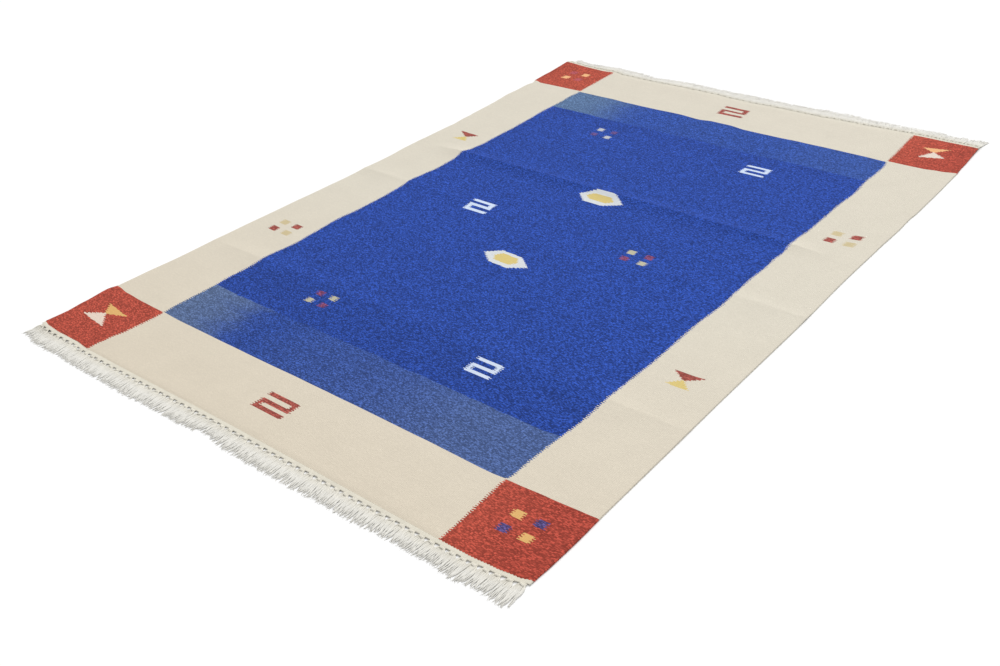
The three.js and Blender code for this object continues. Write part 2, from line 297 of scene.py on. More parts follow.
class RugFringeSizes(bpy.types.PropertyGroup):
    """Sizes of the fringes"""

    tassels: IntProperty(name="Tassels", description="Tassels along one end", default=61, min=1)
    yarns: IntProperty(name="Yarns", description="Yarns in one tassel", default=12, min=1)
    points: IntProperty(name="Points", description="Points along one yarn", default=13, min=4)
    wisps: IntProperty(name="Wisps", description="Loose fibres at the end of one yarn", default=2, min=0)
    yarn: length_property("Yarn radius", "Radius of one yarn", 0.0016)
    wisp: length_property("Wisp radius", "Radius of a loose fibre", 0.00024)
    long: FloatProperty(
        name="Length", description="Length of the tassels against their table", default=1, min=0.1
    )
    web_deep: length_property("Web depth", "How far the plain web shows past the cloth", 0.010)
    web_tuck: length_property("Web tuck", "How far the web runs in under the cloth's edge", 0.0012)
    web_low: length_property("Web underside", "Height of the web's underside", 0.0008)
    web_thick: length_property("Web thickness", "Thickness of the plain web", 0.0026)
    seed: IntProperty(name="Seed", description="Seed of the random strays", default=4, min=0)


class RugStudioSettings(bpy.types.PropertyGroup):
    """Lights, floor and camera"""

    fill: FloatProperty(name="Fill", description="Brightness of the light all round", default=0.56, min=0)
    key: FloatProperty(name="Key", description="Strength of the key light", default=2.6, min=0)
    key_azimuth: angle_property("Key azimuth", "Where the key light stands, from the far side", -12)
    key_elevation: angle_property("Key elevation", "Height of the key light", 42)
    key_spread: angle_property("Key spread", "How soft the key light is", 50)
    floor: colour_property("floor", "Colour of the floor", (0.93, 0.93, 0.93))
    azimuth: angle_property("Azimuth", "Camera azimuth", 41.182)
    elevation: angle_property("Elevation", "Camera elevation", 32.456)
    roll: angle_property("Roll", "Camera roll", -3.712)
    distance: length_property("Distance", "Distance of the camera from where it looks", 2.731)
    lens: FloatProperty(name="Lens", description="Focal length in millimetres", default=39.806, min=1)


# Where the camera looks, in millimetres in the tables' own frame, and the width of its sensor.
LOOK_AT = (218.3, -522.6, 4)
SENSOR_WIDE = 36
# How far off the key light's object is put. A sun shines the same from any distance.
KEY_AWAY = 4
# Half the floor's side and how far it lies below the rug, in metres.
FLOOR_HALF, FLOOR_DROP = 30.0, 0.0002


def math_method(operation):
    """A method of Wire that adds one Math node."""
    return lambda self, *others: self.tree.math(operation, self, *others)


class Wire:
    """A value in a node tree. Ordinary arithmetic on it adds Math nodes."""

    __add__ = math_method("ADD")
    __sub__ = math_method("SUBTRACT")
    __mul__ = math_method("MULTIPLY")
    __truediv__ = math_method("DIVIDE")
    __pow__ = math_method("POWER")
    __abs__ = math_method("ABSOLUTE")
    __lt__ = math_method("LESS_THAN")
    __gt__ = math_method("GREATER_THAN")
    floor = math_method("FLOOR")
    sine = math_method("SINE")
    sign = math_method("SIGN")
    fraction = math_method("FRACT")

    def __init__(self, tree, socket):
        self.tree, self.socket = tree, socket

    def __rsub__(self, other):
        return self.tree.math("SUBTRACT", other, self)

    def held(self, low, high):
        """Kept between two numbers."""
        return self.tree.math("MINIMUM", self.tree.math("MAXIMUM", self, low), high)

    def odd(self):
        """1 where a whole number is odd, 0 where it is even."""
        return self.tree.math("FLOORED_MODULO", self, 2)


class Tree:
    """Adds nodes to a node tree and links what is handed to their inputs."""

    def __init__(self, tree):
        self.tree = tree
        self.tree.nodes.clear()

    def node(self, kind, inputs=None, **settings):
        node = self.tree.nodes.new(kind)
        count = len(self.tree.nodes)
        node.location = (220 * (count // 10), -170 * (count % 10))
        for name, value in settings.items():
            setattr(node, name, value)
        for key, value in (inputs or {}).items():
            self.put(node.inputs[key], value)
        return node

    def put(self, socket, value):
        if isinstance(value, Wire):
            value = value.socket
        if isinstance(value, bpy.types.NodeSocket):
            self.tree.links.new(value, socket)
        else:
            socket.default_value = value

    def wire(self, socket):
        return Wire(self, socket)

    def math(self, operation, *values):
        node = self.node("ShaderNodeMath", dict(enumerate(values)), operation=operation)
        return self.wire(node.outputs[0])

    def number(self, value):
        """A plain number as a wire."""
        return self.math("ADD", value, 0)

    def both(self, *masks):
        """1 where every mask is 1."""
        made = masks[0]
        for mask in masks[1:]:
            made = made * mask
        return made

    def either(self, first, second):
        return self.math("MAXIMUM", first, second)

    def vector(self, x=0.0, y=0.0, z=0.0):
        return self.wire(self.node("ShaderNodeCombineXYZ", {"X": x, "Y": y, "Z": z}).outputs[0])

    def split(self, vector):
        node = self.node("ShaderNodeSeparateXYZ", {0: vector})
        return [self.wire(socket) for socket in node.outputs]

    def curve(self, value, points):
        """A smooth curve through points of (input from 0 to 1, output)."""
        node = self.node("ShaderNodeFloatCurve", {"Value": value})
        line = node.mapping.curves[0]
        node.mapping.clip_min_y, node.mapping.clip_max_y = -4, 4
        node.mapping.use_clip = False
        while len(line.points) < len(points):
            line.points.new(0.5, 0.5)
        for point, place in zip(line.points, points):
            point.location = place
            point.handle_type = "AUTO"
        node.mapping.update()
        return self.wire(node.outputs[0])

    def times(self, first, second):
        """One colour multiplied by another."""
        node = self.node("ShaderNodeVectorMath", {0: first, 1: second}, operation="MULTIPLY")
        return self.wire(node.outputs[0])

    def blend(self, share, first, second):
        """One colour turning into another."""
        node = self.node("ShaderNodeMix", {0: share, 6: first, 7: second}, data_type="RGBA")
        return self.wire(node.outputs[2])

    def tint(self, colour, factor):
        """A colour made lighter or darker."""
        scale = self.node("ShaderNodeVectorMath", {0: colour, "Scale": factor}, operation="SCALE")
        return self.wire(scale.outputs[0])

    def ramp(self, value, start, stop, rows):
        """Colours or shades by place: `rows` are (place, colour or number) between start and stop."""
        share = (value - start) / (stop - start)
        node = self.node("ShaderNodeValToRGB", {0: share})
        elements = node.color_ramp.elements
        while len(elements) < len(rows):
            elements.new(0.5)
        for element, (place, shade) in zip(elements, rows):
            element.position = (place - start) / (stop - start)
            element.color = (*shade, 1) if hasattr(shade, "__len__") else (shade, shade, shade, 1)
        return self.wire(node.outputs[0])

    def noise(self, vector, scale, detail=2.0, rough=0.5):
        inputs = {"Vector": vector, "Scale": scale, "Detail": detail, "Roughness": rough}
        return self.wire(self.node("ShaderNodeTexNoise", inputs).outputs[0])

    def scatter(self, vector):
        """A random number from 0 to 1 for each vector."""
        return self.wire(self.node("ShaderNodeTexWhiteNoise", {"Vector": vector}).outputs[0])


def mix(a, b, share):
    return a + (b - a) * share


def smooth(share):
    held = np.clip(share, 0, 1)
    return held * held * (3 - 2 * held)


def side_at(table, at):
    """Where a side runs at a place, eased between the rows of its table."""
    places, sides = np.array(table, float).T
    after = np.clip(np.searchsorted(places, at), 1, len(places) - 1)
    share = (at - places[after - 1]) / (places[after] - places[after - 1])
    return mix(sides[after - 1], sides[after], smooth(share))


def crease_rise(crease, x, y):
    off = y - crease["y"]
    flank = np.where(off < 0, crease["near"], crease["far"])
    share = np.maximum(0, 1 - np.abs(off) / flank)
    ends = smooth((x - crease["start"]) / crease["run"]) * smooth((crease["stop"] - x) / crease["run"])
    along = (x - crease["start"]) / (crease["stop"] - crease["start"])
    return mix(crease["left"], crease["right"], along) * ends * share**2


def curl_rise(curl, x, y):
    from_side = np.abs(x - side_at(curl["side"], y)) / curl["reach_x"]
    from_end = np.abs(y - side_at(curl["end"], x)) / curl["reach_y"]
    return curl["rise"] * np.maximum(0, 1 - from_side - from_end) ** CURL_BEND


def rise_at(x, y):
    """Height of the cloth's underside over the floor, in millimetres."""
    rises = [crease_rise(crease, x, y) for crease in CREASES] + [curl_rise(curl, x, y) for curl in CURLS]
    return np.maximum.reduce(rises)


def cloth_plan(share, row):
    """Where a share of the width and a row of the loom lie on the floor, in millimetres."""
    along = (row - NEAR_ROW) / (FAR_ROW - NEAR_ROW)
    x = mix(side_at(LEFT_SIDE, row), side_at(RIGHT_SIDE, row), share)
    near_shift = (side_at(NEAR_END, x) - NEAR_ROW) * (1 - along) ** END_POWER
    far_shift = (side_at(FAR_END, x) - FAR_ROW) * along**END_POWER
    return x, row + near_shift + far_shift


def loom_point(x, y):
    """Where a point of the cloth was on the loom, in millimetres."""
    x, y = np.asarray(x, float), np.asarray(y, float)
    across = [side_at(table, y) for table in (LEFT_SIDE, LEFT_BORDER, RIGHT_BORDER, RIGHT_SIDE)]
    along = [side_at(table, x) for table in (NEAR_END, NEAR_BORDER, FAR_BORDER, FAR_END)]
    p = straighten(x, across, (-LOOM_SIDE, -LOOM_BORDER, LOOM_BORDER, LOOM_SIDE))
    q = straighten(y, along, (LOOM_NEAR_END, LOOM_NEAR_BORDER, LOOM_FAR_BORDER, LOOM_FAR_END))
    return p, q


def straighten(place, lines, straight):
    """Stretches what lies between four bent lines to lie between four straight ones."""
    parts = [
        mix(straight[n], straight[n + 1], (place - lines[n]) / (lines[n + 1] - lines[n])) for n in range(3)
    ]
    return np.where(place < lines[1], parts[0], np.where(place < lines[2], parts[1], parts[2]))


# Waves that add up to the surface's slow unevenness: how long each is across the width and along the
# length, in millimetres to a radian, where it starts and how high it is.
RIPPLES = (
    dict(long_x=61, long_y=23, phase=0.4, high=0.5),
    dict(long_x=-34, long_y=47, phase=1.9, high=0.6),
    dict(long_x=17, long_y=-29, phase=4.2, high=0.45),
    dict(long_x=90, long_y=61, phase=2.7, high=0.4),
    dict(long_x=-13, long_y=15, phase=5.1, high=0.25),
)


def ripple_at(x, y):
    """Slow unevenness of the surface, mostly between -1 and 1."""
    return sum(
        wave["high"] * np.sin(x / wave["long_x"] + y / wave["long_y"] + wave["phase"]) for wave in RIPPLES
    )


# How far the packed rug's middle is from the tables' own origin, in millimetres.
SHIFT = np.array([7.81, -5.72, 0])


# Places close to an edge of the mesh, and where the even ones begin, against the edge's rounding.
EDGE_PLACES = (0, 0.08, 0.28, 0.6, 1.1, 2.0)
EVEN_FROM = 3.5


def edged_steps(start, stop, cell, edge, also=()):
    """Evenly spaced places, with close ones at both edges and those of `also` among them."""
    inner = np.linspace(start + EVEN_FROM * edge, stop - EVEN_FROM * edge, int((stop - start) / cell))
    kept = [place for place in inner if all(abs(place - extra) > cell / 3 for extra in also)]
    edges = [start + edge * share for share in EDGE_PLACES] + [stop - edge * share for share in EDGE_PLACES]
    return np.array(sorted([*kept, *edges, *also]))


def quads(index):
    corners = (index[:-1, :-1], index[:-1, 1:], index[1:, 1:], index[1:, :-1])
    return np.stack([corner.ravel() for corner in corners], 1)


def closed_sheet(x, y, top, bottom):
    """Points and faces of a sheet whose top and underside meet along its edges."""
    upper = np.arange(x.size).reshape(x.shape)
    inner = np.zeros(x.shape, bool)
    inner[1:-1, 1:-1] = True
    lower = upper.copy()
    lower[inner] = x.size + np.arange(inner.sum())
    points = np.concatenate([np.stack([x, y, top], -1).reshape(-1, 3), np.stack([x, y, bottom], -1)[inner]])
    return points, np.concatenate([quads(upper), quads(lower)[:, ::-1]])


def new_piece(name, points, faces, material):
    """A smooth mesh object from points in millimetres, in the tables' own frame."""
    mesh = bpy.data.meshes.new(name)
    mesh.from_pydata(((points + SHIFT) * MM).tolist(), [], faces.tolist())
    mesh.materials.append(material)
    mesh.shade_smooth()
    mesh.update()
    piece = bpy.data.objects.new(name, mesh)
    bpy.context.scene.collection.objects.link(piece)
    return piece


def add_loom_map(piece):
    """Gives a piece a map of where each of its points was on the loom, in metres."""
    mesh = piece.data
    places = np.empty(len(mesh.vertices) * 3)
    mesh.vertices.foreach_get("co", places)
    places = places.reshape(-1, 3) / MM - SHIFT
    loom = np.stack(loom_point(places[:, 0], places[:, 1]), 1) * MM
    corners = np.empty(len(mesh.loops), int)
    mesh.loops.foreach_get("vertex_index", corners)
    layer = mesh.uv_layers.new(name="loom")
    layer.data.foreach_set("uv", loom[corners].astype(np.float32).ravel())


def new_material(name, finish):
    """A material whose Principled shader gets what `finish` makes in its tree."""
    material = bpy.data.materials.new(name)
    material.use_nodes = True
    tree = Tree(material.node_tree)
    shader = tree.node("ShaderNodeBsdfPrincipled")
    output = tree.node("ShaderNodeOutputMaterial", {"Surface": shader.outputs[0]})
    output.location = (1400, 300)
    finish(tree, shader)
    return material


def triangle(tree, p, q, corners):
    """1 inside a triangle, 0 outside."""
    middle = np.mean(corners, 0)
    masks = []
    for n in range(3):
        a, b = np.array(corners[n]), np.array(corners[(n + 1) % 3])
        normal = np.array([a[1] - b[1], b[0] - a[0]])
        side = 1 if normal @ (middle - a) > 0 else -1
        normal = normal * side
        masks.append((p * float(normal[0]) + q * float(normal[1])) > float(normal @ a))
    return tree.both(*masks)


def on_chart(motif):
    p, q = loom_point(motif["x"], motif["y"])
    return float(p), float(q)


def bow_tie_half(motif, half):
    """Corners of one of a bow-tie's triangles on the chart."""
    p, q = on_chart(motif)
    tips = [
        (p + half["shift"] + way * half["half"], q + half["high"] + way * half["slant"] * half["half"])
        for way in (-1, 1)
    ]
    return [(p, q - BOW_TIE_OVERLAP * np.sign(half["high"])), *tips]


def hexagon(tree, p, q, shape):
    """1 inside a hexagon of a medallion, 0 outside."""
    far = tree.either((q - shape["y"]) / shape["far"], 0.0)
    near = tree.either((q - shape["y"]) / -shape["near"], 0.0)
    slipped = p - shape["x"] + far * shape["far_slip"] + near * shape["near_slip"]
    far_less = far * (shape["half"] - shape["far_half"])
    near_less = near * (shape["half"] - shape["near_half"])
    half = shape["half"] - far_less - near_less
    return (abs(slipped) < half) * (far + near < 1)


def kilim_pattern(tree, p, q, row, yarn):
    """The chart's colour at a place on the loom. `row` is q held to the middle of its weft row."""
    in_field = abs(p) < LOOM_BORDER
    past_near, past_far = q > LOOM_NEAR_BORDER + FIELD_NEAR_GAP, q < LOOM_FAR_BORDER - FIELD_FAR_GAP
    field = tree.both(in_field, past_near, past_far)
    at_ends = tree.either(q < LOOM_NEAR_BORDER - CORNER_NEAR_GAP, q > LOOM_FAR_BORDER + CORNER_FAR_GAP)
    corners = tree.both(abs(p) > LOOM_BORDER + CORNER_SIDE_GAP, at_ends)
    drift = tree.noise(tree.vector(p, q * WANDER_SQUEEZE), WANDER_SCALE, WANDER_DETAIL) - 0.5
    near_share = tree.ramp(p + drift * NEAR_WANDER, -BAND_REACH, BAND_REACH, NEAR_BAND)
    far_share = tree.ramp(p + drift * FAR_WANDER, -BAND_REACH, BAND_REACH, FAR_BAND)
    near_band = tree.blend(near_share, yarn["dull"], yarn["slate"])
    far_band = tree.blend(far_share, yarn["bright"], yarn["steel"])
    blue = tree.blend(row + drift * EDGE_WANDER < NEAR_BAND_FROM, yarn["field"], near_band)
    blue = tree.blend(row > FAR_BAND_FROM, blue, far_band)
    # The field's blue gets painted shade below the crease at y -601.
    blue = tree.tint(blue, tree.ramp(q, -SHADE_REACH, SHADE_REACH, FIELD_TONE_AND_CREASE_SHADE))
    red = tree.blend(q > 0, yarn["red"], yarn["bloom"])
    red = tree.times(red, tree.ramp(p, RED_FROM, RED_TO, RED_SHADE))
    colour = tree.blend(field, yarn["cream"], blue)
    colour = tree.blend(corners, colour, red)
    for motif in BOW_TIES:
        for half in (motif["far"], motif["near"]):
            mask = triangle(tree, p, row, bow_tie_half(motif, half))
            colour = tree.blend(mask, colour, yarn[half["yarn"]])
    for motif in FOUR_BLOCKS:
        at_p, at_q = on_chart(motif)
        dp, dq = p - at_p, row - at_q
        wide = abs(abs(dp) - motif["across"] / 2) < motif["wide"] / 2
        high = abs(abs(dq) - motif["along"] / 2) < motif["high"] / 2
        pair = tree.blend(dp * dq > 0, yarn[motif["falling"]], yarn[motif["rising"]])
        colour = tree.blend(wide * high, colour, pair)
    for motif in MEANDERS:
        at_p, at_q = on_chart(motif)
        dq = row - at_q
        dp = p - at_p + dq * motif["lean"]
        inside = (abs(dp) < motif["wide"] / 2) * (abs(dq) < motif["high"] / 2)
        bar = motif["bar"]
        spacing = (motif["high"] - bar) / 2
        off = abs(dq)
        bars = tree.either(off < bar / 2, off > spacing - bar / 2)
        turns = dp * dq.sign() > motif["wide"] / 2 - bar - TURN_EXTRA
        colour = tree.blend(inside * tree.either(bars, turns), colour, yarn[motif["yarn"]])
    for motif in MEDALLIONS:
        at_p, at_q = on_chart(motif)
        dp = p - at_p
        dq = row - at_q - dp * motif["slant"]
        for part, name in (("outer", "white"), ("inner", "gold")):
            colour = tree.blend(hexagon(tree, dp, dq, motif[part]), colour, yarn[name])
    return colour


# The last rows of wool swell over pairs of warps: how far apart, how far in and out, and how far
# short of the cloth's end they stop on the whole, in millimetres.
FELL_PITCH, FELL_SWELL, FELL_SHORT = 7.2, 0.8, 0.6
# How long the teeth of a colour join are, from the least to so much more, and how steep and how
# blunt they are.
TOOTH_LEAST, TOOTH_MORE = 0.55, 0.9
TOOTH_STEEP, TOOTH_BLUNT = 6, 1.5
# What keeps the scatter of the rows apart from that of the teeth.
ROW_SCATTER, TOOTH_SCATTER = 7.0, 3.0

# Noises that shade the wool: their scale to a millimetre, detail and roughness. The streaks are
# drawn out along the weft.
GRAIN_NOISE = (0.16, 3.0, 0.65)
CLOUD_NOISE = (0.011, 2.0)
STREAK_NOISE = (1.0, 3.0, 0.6)
STREAK_ACROSS, STREAK_ALONG = 0.004, 0.12
# How strongly single stitches and the grain show in heathered wool. It is the more heathered the
# darker it is.
FLECK_MOTTLE, GRAIN_MOTTLE = 1.5, 0.2
HEATHER_MOST, HEATHER_FALL, HEATHER_LEAST = 1.08, 3, 0.04
# The mean of the flecks, which are the square of an even scatter from 0 to 1.
FLECK_MEAN = 1 / 3
# How strongly clouds and streaks show in heathered and in all wool, and how much painted light brightens the
# wool with each millimetre to the right.
SLOW_HEATHERED, SLOW_ALL, PAINTED_LIGHT_RIGHT = 0.1, 0.05, 2e-5
# The relief: how round its ribs are, and the shares of the picks and of single stitches in it.
RIB_POWER, PICK_SHARE, STITCH_SHARE = 0.6, 0.5, 0.25


def wool_finish(tree, shader):
    """Flat-woven wool: the chart's colours in heathered yarn, with toothed joins and a ribbed relief."""
    sizes, colours = bpy.context.scene.rug_cloth, bpy.context.scene.rug_yarns
    yarn = {name: (*getattr(colours, name), 1) for name in YARNS}
    warp, weft = sizes.warp / MM, sizes.weft / MM
    loom = tree.node("ShaderNodeUVMap", uv_map="loom").outputs[0]
    p, q, _ = tree.split(tree.tint(loom, 1 / MM))
    count = (q / weft).floor()
    row = (count + 0.5) * weft
    stray = tree.scatter(tree.vector(count, ROW_SCATTER)) - 0.5
    teeth = row / (sizes.tooth_pitch / MM)
    long = tree.scatter(tree.vector(teeth.floor(), TOOTH_SCATTER)) * TOOTH_MORE + TOOTH_LEAST
    wave = (abs(teeth.fraction() - 0.5) * TOOTH_STEEP - TOOTH_BLUNT).held(-1, 1)
    tooth = wave * long * (sizes.tooth / MM) + stray * (2 * sizes.tooth_stray / MM)
    colour = kilim_pattern(tree, p + tooth, q, row, yarn)
    fell = (p * (2 * math.pi / FELL_PITCH)).sine() * FELL_SWELL + FELL_SHORT
    beyond = tree.either(LOOM_NEAR_END - q, q - LOOM_FAR_END)
    colour = tree.blend(beyond + fell > 0, colour, (*colours.web, 1))

    rib = (p / warp).floor()
    stitch = (q / weft + rib.odd() * 0.5).floor()
    fleck = tree.scatter(tree.vector(rib, stitch))
    place = tree.vector(p, q)
    grain = tree.noise(place, *GRAIN_NOISE)
    cloud = tree.noise(place, *CLOUD_NOISE)
    streak = tree.noise(tree.vector(p * STREAK_ACROSS, q * STREAK_ALONG), *STREAK_NOISE)
    lightness = tree.wire(tree.node("ShaderNodeRGBToBW", {0: colour}).outputs[0])
    heather = tree.either(HEATHER_MOST - lightness * HEATHER_FALL, HEATHER_LEAST)
    mottle = (fleck * fleck - FLECK_MEAN) * FLECK_MOTTLE + (grain - 0.5) * GRAIN_MOTTLE
    # The random clouds and streaks, plus painted light that grows towards the right.
    slow = (cloud + streak - 1) * (heather * SLOW_HEATHERED + SLOW_ALL) + p * PAINTED_LIGHT_RIGHT
    # The wool turns darker and warmer towards the near end, and all of it is lightened evenly.
    colour = tree.times(colour, tree.ramp(q, -ALONG_REACH, ALONG_REACH, ALONG_TINT))
    colour = tree.tint(colour, (mottle * heather + slow + 1) * WOOL_GAIN)
    tree.put(shader.inputs["Base Color"], colour)

    ribs = abs((p * (math.pi / warp)).sine()) ** RIB_POWER
    picks = abs(((q / weft + rib.odd() * 0.5) * math.pi).sine())
    height = ribs * (picks * PICK_SHARE + (1 - PICK_SHARE)) + fleck * STITCH_SHARE
    bump = tree.node("ShaderNodeBump", {"Strength": 0.8, "Distance": sizes.relief, "Height": height})
    tree.put(shader.inputs["Normal"], bump.outputs[0])
    shader.inputs["Roughness"].default_value = 0.92
    shader.inputs["Specular IOR Level"].default_value = 0.06
    shader.inputs["Sheen Weight"].default_value = 0.02
    shader.inputs["Sheen Roughness"].default_value = 0.6


# The cotton has the web's tint up to one place past the cloth's end and none from another on. Its
# ramp is read so far out. All in millimetres.
TINTED_TO, UNTINTED_FROM, TINT_REACH = 5, 36, 40
# How fast the twist's grooves turn with each millimetre along X, Y and Z, and how much they waver.
TWIST_X, TWIST_Y, TWIST_Z, TWIST_WAVER = 1.5, 2.1, 0.8, 2.2
# Scales of the cotton's noises, how dark the painted shade in the twist's grooves is and how much the noises
# stray its tone, and how deep the grooves are in metres.
WAVER_SCALE, COTTON_CLOUD_SCALE = 0.35, 0.045
GROOVE_PAINTED_SHADE, COTTON_CLOUD_SHADE, WAVER_SHADE = 0.08, 0.2, 0.1
GROOVE_DEEP, GROOVE_WAVER = 0.0005, 0.6


def cotton_finish(tree, shader):
    """Twisted undyed cotton, with painted shade in the grooves between its plies."""
    colours = bpy.context.scene.rug_yarns
    _, q, _ = tree.split(tree.tint(tree.node("ShaderNodeUVMap", uv_map="loom").outputs[0], 1 / MM))
    tints = [(TINTED_TO, tuple(colours.web)), (UNTINTED_FROM, tuple(colours.cotton))]
    colour = tree.ramp(abs(q) - LOOM_FAR_END, 0, TINT_REACH, tints)
    place = tree.tint(tree.node("ShaderNodeTexCoord").outputs["Object"], 1 / MM)
    x, y, z = tree.split(place)
    waver = tree.noise(place, WAVER_SCALE)
    turned = x * TWIST_X + y * TWIST_Y + z * TWIST_Z + waver * TWIST_WAVER
    twist = turned.sine() * 0.5 + 0.5
    cloud = tree.noise(place, COTTON_CLOUD_SCALE)
    slow = (cloud - 0.5) * COTTON_CLOUD_SHADE
    # The twist's grooves get painted shade; the cloud and the waver stray the tone at random.
    shade = (twist - 0.5) * GROOVE_PAINTED_SHADE + slow + (waver - 0.5) * WAVER_SHADE + 1
    tree.put(shader.inputs["Base Color"], tree.tint(colour, shade))
    height = twist + waver * GROOVE_WAVER
    bump = tree.node("ShaderNodeBump", {"Strength": 0.5, "Distance": GROOVE_DEEP, "Height": height})
    tree.put(shader.inputs["Normal"], bump.outputs[0])
    shader.inputs["Roughness"].default_value = 0.85
    shader.inputs["Specular IOR Level"].default_value = 0.2
    shader.inputs["Sheen Weight"].default_value = 0.05


FLOOR_CLOUD_SCALE, FLOOR_CLOUD_SHADE = 0.8, 0.02


def floor_finish(tree, shader):
    """A plain matte floor with a faint unevenness."""
    colour = tuple(bpy.context.scene.rug_studio.floor)
    place = tree.node("ShaderNodeTexCoord").outputs["Object"]
    shade = tree.noise(place, FLOOR_CLOUD_SCALE) * FLOOR_CLOUD_SHADE + (1 - FLOOR_CLOUD_SHADE / 2)
    tree.put(shader.inputs["Base Color"], tree.tint(colour, shade))
    shader.inputs["Roughness"].default_value = 0.9
    shader.inputs["Specular IOR Level"].default_value = 0.1


def material_named(name, finish):
    return bpy.data.materials.get(name) or new_material(name, finish)


def geometry_tree(name, floats=(), whole=()):
    """A geometry node tree with a mesh input, a material input and the named numbers."""
    group = bpy.data.node_groups.new(name, "GeometryNodeTree")
    socket = group.interface.new_socket
    socket("Geometry", in_out="INPUT", socket_type="NodeSocketGeometry")
    socket("Material", in_out="INPUT", socket_type="NodeSocketMaterial")
    for label in floats:
        socket(label, in_out="INPUT", socket_type="NodeSocketFloat")
    for label in whole:
        socket(label, in_out="INPUT", socket_type="NodeSocketInt")
    socket("Geometry", in_out="OUTPUT", socket_type="NodeSocketGeometry")
    tree = Tree(group)
    entry = tree.node("NodeGroupInput")
    return tree, {s.name: tree.wire(s) for s in entry.outputs if s.name}


def end_tree(tree, geometry, material):
    smooth_mesh = tree.node("GeometryNodeSetShadeSmooth", {"Geometry": geometry})
    realized = tree.node("GeometryNodeRealizeInstances", {"Geometry": smooth_mesh.outputs[0]})
    painted = tree.node("GeometryNodeSetMaterial", {"Geometry": realized.outputs[0], "Material": material})
    tree.node("NodeGroupOutput", {0: painted.outputs[0]})


def grow(guide, tree, **values):
    """Runs a geometry tree on a guide line and returns the mesh that it makes."""
    modifier = guide.modifiers.new("grow", "NODES")
    modifier.node_group = tree.tree
    items = tree.tree.interface.items_tree
    sockets = {item.name: item.identifier for item in items if item.in_out == "INPUT"}
    for name, value in values.items():
        modifier[sockets[name.replace("_", " ").capitalize()]] = value
    depsgraph = bpy.context.evaluated_depsgraph_get()
    mesh = bpy.data.meshes.new_from_object(guide.evaluated_get(depsgraph))
    guide.modifiers.remove(modifier)
    bpy.data.objects.remove(guide)
    return mesh


def guide_line(points, **attributes):
    """An object that is a line through points in millimetres, with a number at each for a tree to read."""
    mesh = bpy.data.meshes.new("guide")
    edges = [(n, n + 1) for n in range(len(points) - 1)]
    mesh.from_pydata(((points + SHIFT) * MM).tolist(), edges, [])
    for name, values in attributes.items():
        mesh.attributes.new(name, "FLOAT", "POINT").data.foreach_set("value", np.asarray(values, np.float32))
    guide = bpy.data.objects.new("guide", mesh)
    bpy.context.scene.collection.objects.link(guide)
    return guide


def tube(tree, curve, radius, sides):
    profile = tree.node("GeometryNodeCurvePrimitiveCircle", {"Resolution": sides, "Radius": 1.0})
    made = tree.node(
        "GeometryNodeCurveToMesh",
        {"Curve": curve, "Profile Curve": profile.outputs[0], "Scale": radius, "Fill Caps": True},
    )
    return made.outputs[0]


def sample_guide(tree, curve, share, name=None):
    """Position on the guide line at a share of its length, or the number it carries there."""
    node = tree.node("GeometryNodeSampleCurve", {"Curves": curve, "Factor": share}, mode="FACTOR")
    if name is None:
        return tree.wire(node.outputs["Position"])
    carried = tree.node("GeometryNodeInputNamedAttribute", {"Name": name}, data_type="FLOAT")
    tree.put(node.inputs["Value"], carried.outputs[0])
    return tree.wire(node.outputs["Value"])


# What each kind of stray adds to the seed, which keeps those of one tree apart.
STRAY_KINDS = dict(
    yarn_long=0, yarn_wave=1, wave_start=2, yarn_tip=3, yarn_layer=4, tassel_swing=11, wisp_aside=21,
    wisp_out=22, wisp_up=23, knot_skew=31, knot_size=32, knot_slip=33, turn_skew=1, turn_size=2,
)
YARN_STRAYS = ("yarn_long", "yarn_wave", "wave_start", "yarn_tip", "yarn_layer")


def random_for(tree, count, seed, kind):
    """A random number from 0 to 1 for a count, of one kind of stray."""
    inputs = {"ID": count, "Seed": seed + STRAY_KINDS[kind]}
    node = tree.node("FunctionNodeRandomValue", inputs, data_type="FLOAT")
    return tree.wire(node.outputs["Value"] if node.outputs["Value"].enabled else node.outputs[1])


# How a tassel's yarns run from the web to their tips, by the share of their length: how far they
# are spread, how high they lie against YARN_HIGH, how much of the cloth's lift is left, how much
# of LAYER_HIGH they lie over and under each other, and how thick they are.
YARN_SPREAD = ((0, 0.52), (0.05, 0.47), (0.1, 0.55), (0.16, 0.8), (0.26, 0.97), (0.6, 1.04), (1, 1.15))
YARN_HEIGHT = ((0, 0.38), (0.05, 0.41), (0.11, 0.43), (0.25, 0.41), (0.6, 0.22), (1, 0.11))
YARN_HANG = ((0, 1), (0.2, 0.72), (0.6, 0), (1, 0))
YARN_LAYER = ((0, 0.2), (0.11, 0.7), (0.4, 0.7), (0.8, 0.4), (1, 0.1))
YARN_THICK = ((0, 0.9), (0.11, 0.85), (0.4, 1.05), (0.7, 0.95), (1, 0.3))
# Heights over the floor in millimetres: of a yarn, and how much one lies over another. A yarn or a
# fibre clears the floor by a little more than its radius.
YARN_HIGH, LAYER_HIGH = 5.4, 2
YARN_CLEAR, WISP_CLEAR = 1.06, 1.1
# How much a yarn's length strays, and in metres how far its tip and its tassel's tip swing aside.
LONG_STRAY, TIP_STRAY, SWING = 0.16, 0.0075, 0.006
LEAN_POWER = 1.5
# A yarn's waves: radians along its length and their stray, the stray of their start, and how wide
# they are in metres.
WAVE_LONG, WAVE_LONG_STRAY, WAVE_START_STRAY, WAVE_WIDE = 11, 9, 6, 0.0008
YARN_SIDES = 5

# Loose fibres start at this share of a yarn. They stray aside, outwards and upwards, and their tips
# sag, in metres. Some dip: the upward stray starts below nothing. They taper from their root on,
# against their radius.
WISP_FROM, WISP_POINTS, WISP_SIDES = 0.965, 4, 3
WISP_ASIDE, WISP_OUT, WISP_OUT_MORE, WISP_UP, WISP_SAG = 0.0085, 0.0022, 0.0052, 0.002, 0.0006
WISP_UP_LEAST = -0.35
WISP_ROOT, WISP_TAPER = 1.6, 0.9

